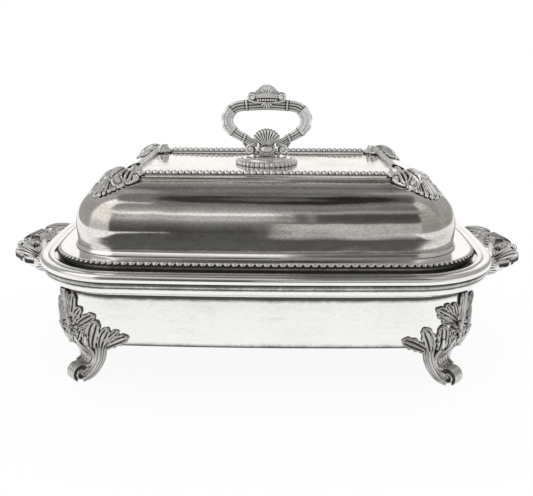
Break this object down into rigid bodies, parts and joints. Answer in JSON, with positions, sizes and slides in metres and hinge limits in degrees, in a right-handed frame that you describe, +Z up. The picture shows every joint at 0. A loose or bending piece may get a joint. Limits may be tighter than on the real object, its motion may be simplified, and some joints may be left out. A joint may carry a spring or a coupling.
{
  "type": "casserole warmer",
  "caption": "Footed hot-water stand with leaf-cast corners, a lift-out serving dish, and a domed cover with a quarter-turn loop handle, in silver plate.",
  "frame": {"origin": "middle of the stand in plan, on the surface that the feet stand on", "axes": "+X along the long way towards the right handle, +Y towards the back, +Z up"},
  "size_m": [0.393, 0.24, 0.1931],
  "materials": {
    "polished_silver_plate": "polished silver plate with fine wear scratches",
    "cast_silver_plate": "cast ornament, bright on its edges and oxidised in its recesses",
    "shaded_silver_plate": "gadroon and inner fittings, silver plate with dark recesses"
  },
  "bodies": {
    "stand": {"pan": "polished_silver_plate", "pan_rim": "polished_silver_plate", "foot_front_left": "cast_silver_plate", "foot_front_right": "cast_silver_plate", "foot_back_left": "cast_silver_plate", "foot_back_right": "cast_silver_plate", "corner_spray_front_left": "cast_silver_plate", "corner_spray_front_right": "cast_silver_plate", "corner_spray_back_left": "cast_silver_plate", "corner_spray_back_right": "cast_silver_plate", "end_handle_left": "cast_silver_plate", "end_handle_right": "cast_silver_plate", "end_shell_left": "cast_silver_plate", "end_shell_right": "cast_silver_plate"},
    "dish": {"dish": "polished_silver_plate", "dish_border": "shaded_silver_plate"},
    "cover": {"cover": "polished_silver_plate", "cover_base_band": "polished_silver_plate", "cover_mount_front_left": "cast_silver_plate", "cover_mount_front_right": "cast_silver_plate", "cover_mount_back_left": "cast_silver_plate", "cover_mount_back_right": "cast_silver_plate", "cover_rail_front": "shaded_silver_plate", "cover_rail_back": "shaded_silver_plate", "cover_rail_left": "shaded_silver_plate", "cover_rail_right": "shaded_silver_plate", "lock_plate": "shaded_silver_plate"},
    "handle": {"handle_base": "shaded_silver_plate", "locking_stud": "shaded_silver_plate", "handle_stem": "cast_silver_plate", "handle_loop": "cast_silver_plate", "handle_crest": "cast_silver_plate", "handle_shell_front": "cast_silver_plate", "handle_shell_back": "cast_silver_plate"}
  },
  "joints": [
    {"name": "dish_lift", "type": "slide", "parent": "stand", "child": "dish", "axis": [0, 0, 1], "range_m": [0, 0.06]},
    {"name": "cover_lift", "type": "slide", "parent": "dish", "child": "cover", "axis": [0, 0, 1], "range_m": [0, 0.08]},
    {"name": "handle_turn", "type": "hinge", "parent": "cover", "child": "handle", "pos_m": [0, 0, 0.135], "axis": [0, 0, 1], "range_deg": [0, 90]}
  ]
}
